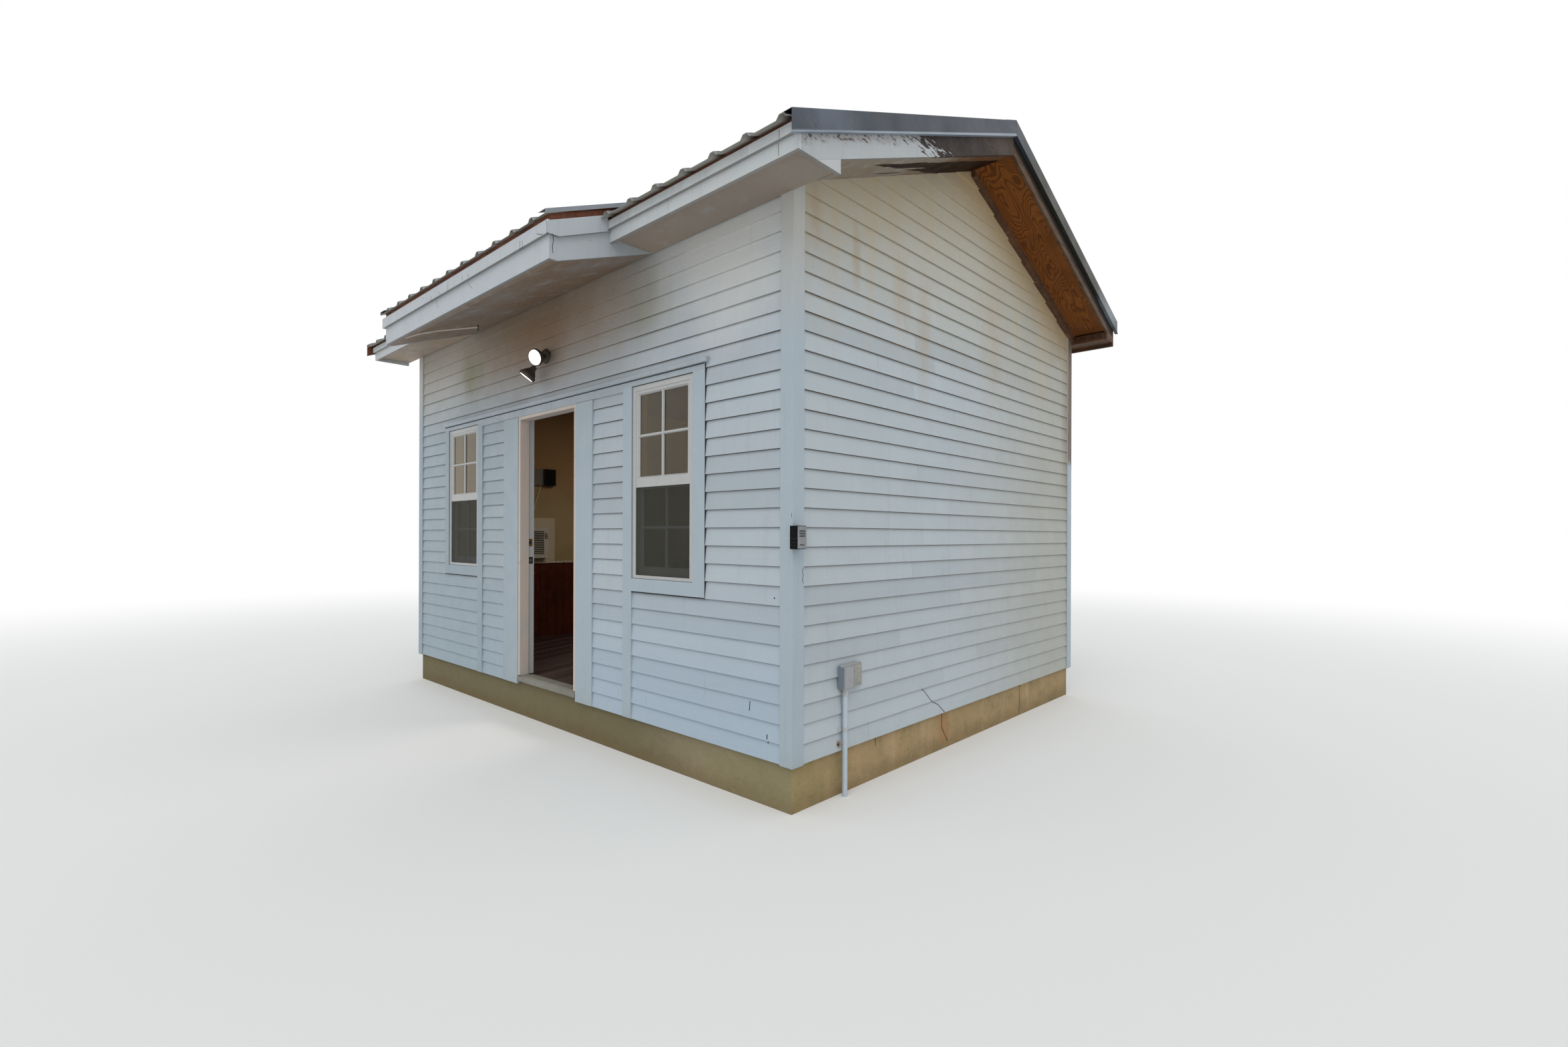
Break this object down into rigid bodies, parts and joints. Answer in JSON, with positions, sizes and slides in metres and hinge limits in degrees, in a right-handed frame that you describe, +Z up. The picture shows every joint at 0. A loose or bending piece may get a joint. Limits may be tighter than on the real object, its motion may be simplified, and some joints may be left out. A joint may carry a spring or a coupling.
{
  "type": "boathouse",
  "caption": "Small clapboard boathouse on a concrete foundation, with a gabled ribbed-metal roof, a porch roof over an open door and a window at each side.",
  "frame": {"origin": "middle of the footprint over the corner boards, at the underside of the foundation", "axes": "+X to the right along the front wall, +Y to the back of the house, +Z up"},
  "size_m": [5.632, 4.704, 4.2226],
  "materials": {
    "concrete": "rough, stained",
    "floor_boards": "satin",
    "wall_lining": "matte",
    "siding_paint": "weathered white paint",
    "trim_paint": "weathered white paint",
    "jamb_paint": "satin paint",
    "sill_metal": "worn",
    "brass": "satin",
    "vinyl": "satin",
    "window_glass": "clear",
    "screen_mesh": "woven mesh",
    "lumber": "bare, stained by rain",
    "sheathing": "bare",
    "roofing_metal": "satin, weathered",
    "porch_roofing": "satin, weathered",
    "bright_trim": "mill finish",
    "soffit_paint": "stained paint",
    "bare_wood": "bare, weathered",
    "bronze_lamp": "satin",
    "key_box_case": "satin",
    "grey_plastic": "matte",
    "cooler_plastic": "matte",
    "panel_paint": "matte",
    "black_plastic": "matte",
    "dark_panelling": "satin"
  },
  "bodies": {
    "root": {"foundation": "concrete", "floor": "floor_boards", "front_wall_left": "wall_lining", "front_wall_right": "wall_lining", "front_wall_top": "wall_lining", "left_wall": "wall_lining", "right_wall": "wall_lining", "back_wall": "wall_lining", "siding_front": "siding_paint", "siding_right": "siding_paint", "siding_left": "siding_paint", "siding_back": "siding_paint", "corner_boards": "trim_paint", "head_trim": "trim_paint", "door_casing": "trim_paint", "window_trim": "trim_paint", "door_jamb": "jamb_paint", "threshold": "sill_metal", "door_leaf": "jamb_paint", "door_hardware": "brass", "window_frames": "vinyl", "window_sashes": "vinyl", "window_glass": "window_glass", "window_screens": "screen_mesh", "rafters": "lumber", "ridge_board": "lumber", "roof_deck_front": "sheathing", "roof_deck_back": "sheathing", "roof_battens": "lumber", "roof_metal_front": "roofing_metal", "roof_metal_back": "roofing_metal", "porch_metal": "porch_roofing", "ridge_cap": "roofing_metal", "edge_trims": "roofing_metal", "porch_trims": "bright_trim", "fascia_front": "trim_paint", "eave_strip": "trim_paint", "fascia_back": "bare_wood", "rake_boards": "trim_paint", "eave_soffit": "soffit_paint", "back_soffit": "bare_wood", "rake_soffit_front": "soffit_paint", "rake_soffit_back": "bare_wood", "eave_returns": "trim_paint", "porch_fascia": "trim_paint", "porch_ends": "trim_paint", "porch_soffit": "soffit_paint", "floodlight": "bronze_lamp", "key_box": "key_box_case", "outlet_box": "grey_plastic", "conduit": "grey_plastic", "ac_unit": "cooler_plastic", "ac_panel": "panel_paint", "wall_box": "black_plastic", "wainscot": "dark_panelling", "wainscot_rail": "panel_paint"}
  },
  "joints": []
}
